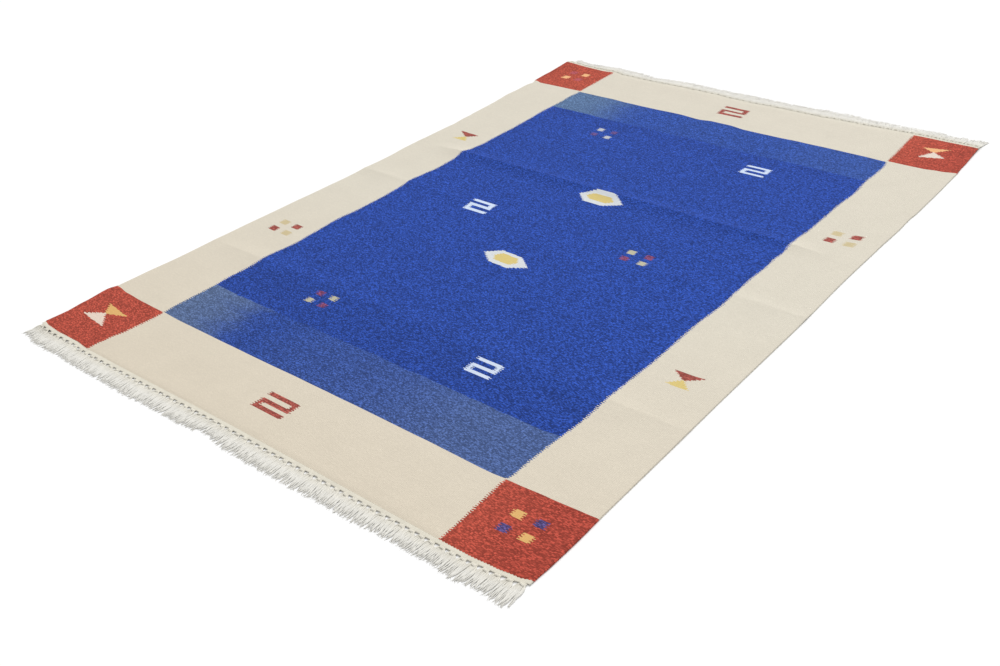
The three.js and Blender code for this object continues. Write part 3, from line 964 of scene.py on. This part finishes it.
# A knot is a coil of yarn round its tassel, in metres: how far past the web it lies and strays, its
# half width, depth and half height, and its yarn's radius. It is lifted with the cloth, in part.
KNOT_AT, KNOT_STRAY = 0.0058, 0.002
KNOT_HALF_WIDE, KNOT_DEEP, KNOT_HALF_HIGH, KNOT_YARN = 0.005, 0.0044, 0.0013, 0.0013
KNOT_LIFT, KNOT_HANG = 0.0028, 0.85
KNOT_TURNS, KNOT_STEPS, KNOT_SIDES = 2.3, 12, 6
KNOT_SKEW, KNOT_LEAST, KNOT_MORE = 0.7, 0.92, 0.16

# How long the tassels are below their web, in millimetres, by their place across the width.
FRONT_LONG = (
    (-800, 47), (-700, 55), (-630, 51), (-560, 51), (-430, 51), (-350, 55.5), (-270, 51),
    (-150, 52), (-100, 48), (-68, 37), (-40, 45), (0, 53), (200, 54.5), (330, 49), (400, 51.5),
    (470, 46), (570, 46.5), (610, 45), (690, 53.5), (730, 50.5), (800, 66),
)
BACK_LONG = (
    (-800, 64), (-750, 47), (-600, 48), (-540, 57.5), (-480, 52.5), (-430, 44), (-380, 51.5),
    (-330, 57), (-270, 61), (-180, 55.5), (-110, 59), (-80, 65), (0, 69), (60, 63), (130, 60),
    (200, 62.5), (250, 73), (290, 61), (330, 70), (400, 59), (480, 55.5), (560, 51), (640, 54.5),
    (690, 47), (730, 56), (800, 64),
)


def group_of(count, size):
    """Which group of `size` a count falls in. The small extra keeps a whole quotient whole."""
    return (count / size + 0.001).floor()


def yarn_path(tree, entry, guide, yarn, share):
    """Where a yarn is at a share of its length. `yarn` counts along the whole end."""
    tassel = group_of(yarn, entry["Yarns"])
    total = entry["Tassels"] * entry["Yarns"]
    middle_share = (tassel + 0.5) / entry["Tassels"]
    root = sample_guide(tree, guide, (yarn + 0.5) / total)
    middle = sample_guide(tree, guide, middle_share)
    lean = sample_guide(tree, guide, middle_share, "lean")
    mean_long = sample_guide(tree, guide, middle_share, "long")
    strays = [random_for(tree, yarn, entry["Seed"], kind) - 0.5 for kind in YARN_STRAYS]
    long_stray, wave_stray, start_stray, tip_stray, layer_stray = strays
    swing = random_for(tree, tassel, entry["Seed"], "tassel_swing") - 0.5
    root_x, _, _ = tree.split(root)
    x, y, z = tree.split(middle)
    late = share * share
    long = mean_long * (long_stray * LONG_STRAY + 1)
    turned = share * (wave_stray * WAVE_LONG_STRAY + WAVE_LONG) + start_stray * WAVE_START_STRAY
    wave = turned.sine() * WAVE_WIDE * share
    spread = (tree.curve(share, YARN_SPREAD) - 1) * entry["Gather"] + 1
    leaning = (lean + swing * SWING) * share**LEAN_POWER
    new_x = x + (root_x - x) * spread + leaning + tip_stray * TIP_STRAY * late + wave
    new_y = y + entry["Outward"] * share * long
    layer = (layer_stray * LAYER_HIGH * MM) * tree.curve(share, YARN_LAYER)
    lift = z * tree.curve(share, YARN_HANG) + tree.curve(share, YARN_HEIGHT) * YARN_HIGH * MM + layer
    lowest = entry["Yarn radius"] * tree.curve(share, YARN_THICK) * YARN_CLEAR
    return new_x, new_y, tree.either(lift, lowest)


def strands(tree, total, points):
    """Straight strands of a number of points each, with each point's strand and share of its length."""
    cloud = tree.node("GeometryNodePoints", {"Count": total * points})
    index = tree.wire(tree.node("GeometryNodeInputIndex").outputs[0])
    count = ((index + 0.5) / points).floor()
    share = (index - count * points) / (points - 1)
    curves = tree.node(
        "GeometryNodePointsToCurves", {"Points": cloud.outputs[0], "Curve Group ID": count, "Weight": share}
    )
    return curves.outputs[0], count, share


def moved_to(tree, geometry, place):
    """Geometry whose points are put at a place of their own."""
    node = tree.node("GeometryNodeSetPosition", {"Geometry": geometry, "Position": tree.vector(*place)})
    return node.outputs[0]


def copies(tree, points, instance, turn, scale):
    """A copy of a shape at each point, turned about Z."""
    turned = tree.node("FunctionNodeEulerToRotation", {0: tree.vector(0.0, 0.0, turn)}).outputs[0]
    inputs = {"Points": points, "Instance": instance, "Rotation": turned, "Scale": tree.vector(*scale)}
    return tree.node("GeometryNodeInstanceOnPoints", inputs).outputs[0]


def stood_up(tree, curve):
    """A curve turned up from lying flat."""
    upright = {"Geometry": curve, "Rotation": (math.radians(90), 0, 0)}
    return tree.node("GeometryNodeTransform", upright).outputs[0]


def knot_coil(tree):
    """A coil of yarn round the run of a tassel, centred on its own middle."""
    turns = {"Resolution": KNOT_STEPS, "Rotations": KNOT_TURNS}
    unit = {"Start Radius": 1.0, "End Radius": 1.0, "Height": 1.0}
    coil = tree.node("GeometryNodeCurveSpiral", turns | unit)
    sized = {
        "Geometry": stood_up(tree, coil.outputs[0]),
        "Translation": (0, KNOT_DEEP / 2, 0),
        "Scale": (KNOT_HALF_WIDE, KNOT_DEEP, KNOT_HALF_HIGH),
    }
    return tube(tree, tree.node("GeometryNodeTransform", sized).outputs[0], KNOT_YARN, KNOT_SIDES)


def fringe_tree():
    """Knotted tassels hung from a guide line."""
    tree, entry = geometry_tree(
        "Knotted fringe",
        floats=("Outward", "Gather", "Yarn radius", "Wisp radius"),
        whole=("Tassels", "Yarns", "Points", "Wisps", "Seed"),
    )
    guide = tree.node("GeometryNodeMeshToCurve", {"Mesh": entry["Geometry"]}).outputs[0]
    total = entry["Tassels"] * entry["Yarns"]

    lines, yarn, share = strands(tree, total, entry["Points"])
    placed = moved_to(tree, lines, yarn_path(tree, entry, guide, yarn, share))
    yarns = tube(tree, placed, entry["Yarn radius"] * tree.curve(share, YARN_THICK), YARN_SIDES)

    fibres, wisp, along = strands(tree, total * entry["Wisps"], tree.number(WISP_POINTS))
    holder = group_of(wisp, entry["Wisps"])
    x, y, z = yarn_path(tree, entry, guide, holder, tree.number(WISP_FROM))
    aside = (random_for(tree, wisp, entry["Seed"], "wisp_aside") - 0.5) * WISP_ASIDE * along
    outward = random_for(tree, wisp, entry["Seed"], "wisp_out") * WISP_OUT_MORE + WISP_OUT
    up = (random_for(tree, wisp, entry["Seed"], "wisp_up") + WISP_UP_LEAST) * WISP_UP * along
    low = tree.either(z + up - along * WISP_SAG, entry["Wisp radius"] * WISP_CLEAR)
    teased = moved_to(tree, fibres, (x + aside, y + outward * along * entry["Outward"], low))
    wisp_thick = entry["Wisp radius"] * (WISP_ROOT - along * WISP_TAPER)
    wisps = tube(tree, teased, wisp_thick, WISP_SIDES)

    marks = tree.node("GeometryNodePoints", {"Count": entry["Tassels"]})
    tassel = tree.wire(tree.node("GeometryNodeInputIndex").outputs[0])
    knot_x, knot_y, knot_z = tree.split(sample_guide(tree, guide, (tassel + 0.5) / entry["Tassels"]))
    slip = (random_for(tree, tassel, entry["Seed"], "knot_slip") - 0.5) * KNOT_STRAY + KNOT_AT
    knot_place = (knot_x, knot_y + entry["Outward"] * slip, knot_z * KNOT_HANG + KNOT_LIFT)
    turn = (random_for(tree, tassel, entry["Seed"], "knot_skew") - 0.5) * KNOT_SKEW
    size = random_for(tree, tassel, entry["Seed"], "knot_size") * KNOT_MORE + KNOT_LEAST
    set_marks = moved_to(tree, marks.outputs[0], knot_place)
    knots = copies(tree, set_marks, knot_coil(tree), turn, (size, size, 1.0))
    joined = tree.node("GeometryNodeJoinGeometry")
    for part in (yarns, wisps, knots):
        tree.put(joined.inputs[0], part)
    end_tree(tree, joined.outputs[0], entry["Material"])
    return tree


# How flat a turn of the weft is pressed, so that it lies within the cloth's thickness.
TURN_FLAT = 0.74
# How far round the last warp a turn runs, in degrees. How far it is skewed, in radians, and its
# size, both with a stray from this seed.
TURN_SWEEP, TURN_STEPS, TURN_SIDES = 200, 6, 5
TURN_SKEW, TURN_LEAST, TURN_MORE, TURN_SEED = 0.4, 0.93, 0.14, 3


def selvedge_tree():
    """Turns of the weft round the last warp, along a guide line."""
    tree, entry = geometry_tree("Selvedge", floats=("Pitch", "Yarn radius", "Turn radius", "Outward"))
    guide = tree.node("GeometryNodeMeshToCurve", {"Mesh": entry["Geometry"]}).outputs[0]
    spots = tree.node("GeometryNodeCurveToPoints", {"Curve": guide, "Length": entry["Pitch"]}, mode="LENGTH")
    bend = {"Start Angle": math.radians(-TURN_SWEEP / 2), "Sweep Angle": math.radians(TURN_SWEEP)}
    arc = tree.node("GeometryNodeCurveArc", {"Resolution": TURN_STEPS, "Radius": entry["Turn radius"]} | bend)
    turn = tube(tree, stood_up(tree, arc.outputs[0]), entry["Yarn radius"], TURN_SIDES)
    tangent_x, tangent_y, _ = tree.split(spots.outputs["Tangent"])
    heading = tree.math("ARCTAN2", tangent_y, tangent_x) - math.pi / 2
    index = tree.wire(tree.node("GeometryNodeInputIndex").outputs[0])
    seed = tree.number(TURN_SEED)
    stray = (random_for(tree, index, seed, "turn_skew") - 0.5) * TURN_SKEW
    facing = heading + (1 - entry["Outward"]) * (math.pi / 2) + stray
    size = random_for(tree, index, seed, "turn_size") * TURN_MORE + TURN_LEAST
    turns = copies(tree, spots.outputs["Points"], turn, facing, (size, 1.0, size * TURN_FLAT))
    end_tree(tree, turns, entry["Material"])
    return tree


def piece_from(name, mesh):
    mesh.name = name
    piece = bpy.data.objects.new(name, mesh)
    bpy.context.scene.collection.objects.link(piece)
    return piece


def join_meshes(name, pieces):
    """One piece from several, which are removed."""
    bpy.ops.object.select_all(action="DESELECT")
    for piece in pieces:
        piece.select_set(True)
    bpy.context.view_layer.objects.active = pieces[0]
    bpy.ops.object.join()
    pieces[0].name = pieces[0].data.name = name
    return pieces[0]


def end_line(row, count):
    """Points of the cloth's end, left to right, at the height of its underside."""
    x, y = cloth_plan(np.linspace(0, 1, count), np.full(count, float(row)))
    return np.stack([x, y, rise_at(x, y)], 1)


# The tassels lean together in two waves along the fringe, and at the near end the last ones on the
# right flare out. Lengths are in millimetres.
LEAN_WAVES = (dict(lean=4, step=130, phase=1), dict(lean=2, step=47, phase=-2))
NEAR_FLARE = dict(at=808, wide=34, lean=9)


def lean_at(x, way):
    """How far the tassels' tips lean sideways, in millimetres."""
    lean = sum(wave["lean"] * np.sin(x / wave["step"] + wave["phase"] * way) for wave in LEAN_WAVES)
    if way < 0:
        lean = lean + NEAR_FLARE["lean"] * np.exp(-(((x - NEAR_FLARE["at"]) / NEAR_FLARE["wide"]) ** 2))
    return lean


# The mesh of a web: its columns, and its rows from the cloth outwards as shares of its depth.
WEB_COLUMNS = 800
WEB_ROWS = (0, 0.03, 0.1, 0.22, 0.34, 0.46, 0.58, 0.7, 0.82, 0.93, 0.98, 1)
# How far apart a web's ribs are and how high they stand, in millimetres, how many picks cross them
# and how square the web's edges are.
WEB_RIB, WEB_RELIEF = 4.33, 0.25
WEB_PICKS, WEB_SQUARE = 4, 6


def web_strip(way, material):
    """The plain web along one end: ribs of grouped warps crossed by a few cotton picks."""
    sizes = bpy.context.scene.rug_fringe
    tuck, low, thick = sizes.web_tuck / MM, sizes.web_low / MM, sizes.web_thick / MM
    end = end_line(NEAR_ROW if way < 0 else FAR_ROW, WEB_COLUMNS)
    share, x = np.meshgrid(np.array(WEB_ROWS), end[:, 0], indexing="ij")
    y = end[:, 1] + way * (share * (sizes.web_deep / MM + tuck) - tuck)
    lift = np.broadcast_to(end[:, 2], x.shape) + low
    ribs = np.cos(2 * np.pi * x / WEB_RIB)
    picks = np.cos(2 * np.pi * share * WEB_PICKS + np.pi * (np.floor(x / WEB_RIB + 0.5) % 2))
    inside = np.zeros(x.shape, bool)
    inside[1:-1, 1:-1] = True
    round_off = np.sqrt(np.clip(1 - np.abs(2 * share - 1) ** WEB_SQUARE, 0, 1)) * inside
    top = lift + thick / 2 + (thick / 2 - WEB_RELIEF + WEB_RELIEF * ribs * picks) * round_off
    bottom = lift + thick / 2 - thick / 2 * round_off
    if way < 0:
        x, y, top, bottom = (grid[::-1] for grid in (x, y, top, bottom))
    return new_piece("web", *closed_sheet(x, y, top, bottom), material)


# Where on the web the tassels start, as a share of its depth, and what the far end adds to the seed.
ROOT_AT = 0.92
FAR_SEED = 100


def fringe(name, node, way, table, gather):
    """Web and tassels of one end as one piece. `gather` is how far the tassels narrow at their knots."""
    sizes = bpy.context.scene.rug_fringe
    material = material_named("cotton_yarn", cotton_finish)
    line = end_line(NEAR_ROW if way < 0 else FAR_ROW, 4 * sizes.tassels + 1)
    line[:, 1] += way * sizes.web_deep * ROOT_AT / MM
    long = side_at(table, line[:, 0]) * sizes.long
    guide = guide_line(line, lean=lean_at(line[:, 0], way) * MM, long=long * MM)
    mesh = grow(
        guide, fringe_tree(), material=material, outward=float(way), gather=gather, yarn_radius=sizes.yarn,
        wisp_radius=sizes.wisp, tassels=sizes.tassels, yarns=sizes.yarns, points=sizes.points,
        wisps=sizes.wisps, seed=sizes.seed + (way > 0) * FAR_SEED,
    )
    piece = join_meshes(name, [piece_from(name, mesh), web_strip(way, material)])
    add_loom_map(piece)
    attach(piece, "root")
    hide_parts(node)


class RUG_OT_fringes(bpy.types.Operator):
    """Hang the knotted cotton fringes at both ends"""

    bl_idname = "rug.hang_fringes"
    bl_label = "Hang Fringes"

    def execute(self, context):
        fringe("front_fringe", "fringe_front", -1, FRONT_LONG, 1.0)
        fringe("back_fringe", "fringe_back", 1, BACK_LONG, 0.2)
        return {"FINISHED"}


# How far in from the ends the selvedges start and how far they stand past the cloth's side, in
# millimetres, and how many points their guide lines have.
SELVEDGE_INSET, SELVEDGE_PROUD, SELVEDGE_POINTS = 2, 0.45, 600


class RUG_OT_selvedges(bpy.types.Operator):
    """Turn the weft round the last warps along both long sides"""

    bl_idname = "rug.turn_selvedges"
    bl_label = "Turn Selvedges"

    def execute(self, context):
        sizes, cloth = context.scene.rug_selvedge, context.scene.rug_cloth
        material = material_named("kilim_wool", wool_finish)
        rows = np.linspace(NEAR_ROW + SELVEDGE_INSET, FAR_ROW - SELVEDGE_INSET, SELVEDGE_POINTS)
        for name, share, way in (("left_selvedge", 0.0, -1), ("right_selvedge", 1.0, 1)):
            x, y = cloth_plan(share, rows)
            inward = (sizes.reach + sizes.yarn) / MM - SELVEDGE_PROUD
            line = np.stack([x - way * inward, y, rise_at(x, y) + cloth.thick / MM / 2], 1)
            mesh = grow(
                guide_line(line), selvedge_tree(), material=material, pitch=sizes.pitch,
                yarn_radius=sizes.yarn, turn_radius=sizes.reach, outward=float(way),
            )
            piece = piece_from(name, mesh)
            add_loom_map(piece)
            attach(piece, "root")
        return {"FINISHED"}


# How much of its thickness the cloth keeps at the fell, where the web runs in under it, and over how
# many millimetres it thins out.
END_FULL, END_EASE = 0.6, 9
# Rows of the mesh close to each crest, in millimetres from it, that keep it crisp.
CREST_ROWS = (-6, -2, 2, 6)
# How far in from the edges the ripple has its full height, in millimetres.
RIPPLE_FROM = 30


def rounding(inward, edge):
    """From 0 at an edge to 1 where its rounding ends."""
    return np.sqrt(np.clip(1 - (1 - np.clip(inward, 0, edge) / edge) ** 2, 0, 1))


class RUG_OT_cloth(bpy.types.Operator):
    """Weave the cloth on the folds of its solid"""

    bl_idname = "rug.weave_cloth"
    bl_label = "Weave Cloth"

    def execute(self, context):
        sizes = context.scene.rug_cloth
        cell, edge, thick = sizes.cell / MM, sizes.edge / MM, sizes.thick / MM
        crests = [crease["y"] + off for crease in CREASES for off in CREST_ROWS]
        rows = edged_steps(NEAR_ROW, FAR_ROW, cell, edge, crests)
        width = 2 * LOOM_SIDE
        columns = edged_steps(0, width, cell, edge)
        share, row = np.meshgrid(columns / width, rows)
        x, y = cloth_plan(share, row)
        from_side = np.minimum(share, 1 - share) * width
        from_end = np.minimum(row - NEAR_ROW, FAR_ROW - row)
        inward = np.minimum(from_side, from_end)
        fullness = rounding(from_side, edge) * mix(END_FULL, 1, smooth(from_end / END_EASE))
        ripple = ripple_at(x, y) * sizes.ripple / MM * smooth(inward / RIPPLE_FROM)
        middle = rise_at(x, y) + thick / 2
        top = middle + thick / 2 * fullness + ripple * 0.5
        bottom = middle - thick / 2 * fullness + np.maximum(0, ripple) * 0.5
        material = material_named("kilim_wool", wool_finish)
        piece = new_piece("kilim", *closed_sheet(x, y, top, bottom), material)
        add_loom_map(piece)
        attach(piece, "root")
        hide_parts("kilim_cloth")
        return {"FINISHED"}


class RUG_OT_declare(bpy.types.Operator):
    """A step that does nothing"""

    bl_idname = "rug.declare_cloth"
    bl_label = "Declare Cloth"

    def execute(self, context):
        return {"FINISHED"}


def direction(azimuth, elevation, way):
    """A unit vector. The azimuth counts from the far side where `way` is 1, from the near where -1."""
    level = math.cos(elevation)
    return Vector((math.sin(azimuth) * level, way * math.cos(azimuth) * level, math.sin(elevation)))


class RUG_OT_studio(bpy.types.Operator):
    """Lay the floor, and place the lights and the camera"""

    bl_idname = "rug.set_studio"
    bl_label = "Set Studio"

    def execute(self, context):
        settings = context.scene.rug_studio
        scene = context.scene
        self.lay_floor()
        world = bpy.data.worlds.new("studio")
        world.use_nodes = True
        background = world.node_tree.nodes["Background"]
        background.inputs["Color"].default_value = (1, 1, 1, 1)
        background.inputs["Strength"].default_value = settings.fill
        scene.world = world
        lamp = bpy.data.lights.new("key", "SUN")
        lamp.energy, lamp.angle = settings.key, settings.key_spread
        key = bpy.data.objects.new("key", lamp)
        towards = direction(settings.key_azimuth, settings.key_elevation, 1)
        key.rotation_euler = towards.to_track_quat("Z", "Y").to_euler()
        key.location = towards * KEY_AWAY
        scene.collection.objects.link(key)
        self.place_camera(settings)
        scene.view_settings.view_transform = "Standard"
        scene.view_settings.look = "None"
        return {"FINISHED"}

    def lay_floor(self):
        mesh = bpy.data.meshes.new("floor")
        ways = ((-1, -1), (1, -1), (1, 1), (-1, 1))
        corners = [(x * FLOOR_HALF, y * FLOOR_HALF, -FLOOR_DROP) for x, y in ways]
        mesh.from_pydata(corners, [], [(0, 1, 2, 3)])
        mesh.materials.append(material_named("studio_floor", floor_finish))
        floor = bpy.data.objects.new("floor", mesh)
        bpy.context.scene.collection.objects.link(floor)

    def place_camera(self, settings):
        roll = settings.roll
        back = direction(settings.azimuth, settings.elevation, -1)
        right = Vector((0, 0, 1)).cross(back).normalized()
        up = back.cross(right)
        turned_right = right * math.cos(roll) + up * math.sin(roll)
        turned_up = up * math.cos(roll) - right * math.sin(roll)
        data = bpy.data.cameras.new("camera")
        data.lens, data.sensor_width = settings.lens, SENSOR_WIDE
        camera = bpy.data.objects.new("camera", data)
        place = (Vector(LOOK_AT) + Vector(SHIFT)) * MM + back * settings.distance
        turned = Matrix((turned_right, turned_up, back)).transposed().to_4x4()
        camera.matrix_world = Matrix.Translation(place) @ turned
        bpy.context.scene.collection.objects.link(camera)
        bpy.context.scene.camera = camera


class RUG_PT_panel(bpy.types.Panel):
    """The rug's steps and sizes"""

    bl_idname = "RUG_PT_panel"
    bl_label = "Kilim Rug"
    bl_space_type = "VIEW_3D"
    bl_region_type = "UI"
    bl_category = "Rug"

    def draw(self, context):
        layout = self.layout
        for operator in OPERATORS:
            layout.operator(operator.bl_idname)
        for name, group in SETTINGS.items():
            box = layout.box()
            box.label(text=group.__doc__)
            for entry in group.__annotations__:
                box.prop(getattr(context.scene, name), entry)


OPERATORS = (RUG_OT_cloth, RUG_OT_selvedges, RUG_OT_fringes, RUG_OT_declare, RUG_OT_studio)
SETTINGS = {
    "rug_cloth": RugClothSizes,
    "rug_selvedge": RugSelvedgeSizes,
    "rug_fringe": RugFringeSizes,
    "rug_yarns": RugYarnColours,
    "rug_studio": RugStudioSettings,
}
CLASSES = (*SETTINGS.values(), *OPERATORS, RUG_PT_panel)


def register():
    for made in CLASSES:
        bpy.utils.register_class(made)
    for name, group in SETTINGS.items():
        setattr(bpy.types.Scene, name, PointerProperty(type=group))


def unregister():
    for name in SETTINGS:
        delattr(bpy.types.Scene, name)
    for made in reversed(CLASSES):
        bpy.utils.unregister_class(made)


def main():
    """Dress the rug and set the studio."""
    register()
    bpy.ops.rug.weave_cloth()
    bpy.ops.rug.turn_selvedges()
    bpy.ops.rug.hang_fringes()
    bpy.ops.rug.declare_cloth()
    bpy.ops.rug.set_studio()


if __name__ == "__main__":
    main()
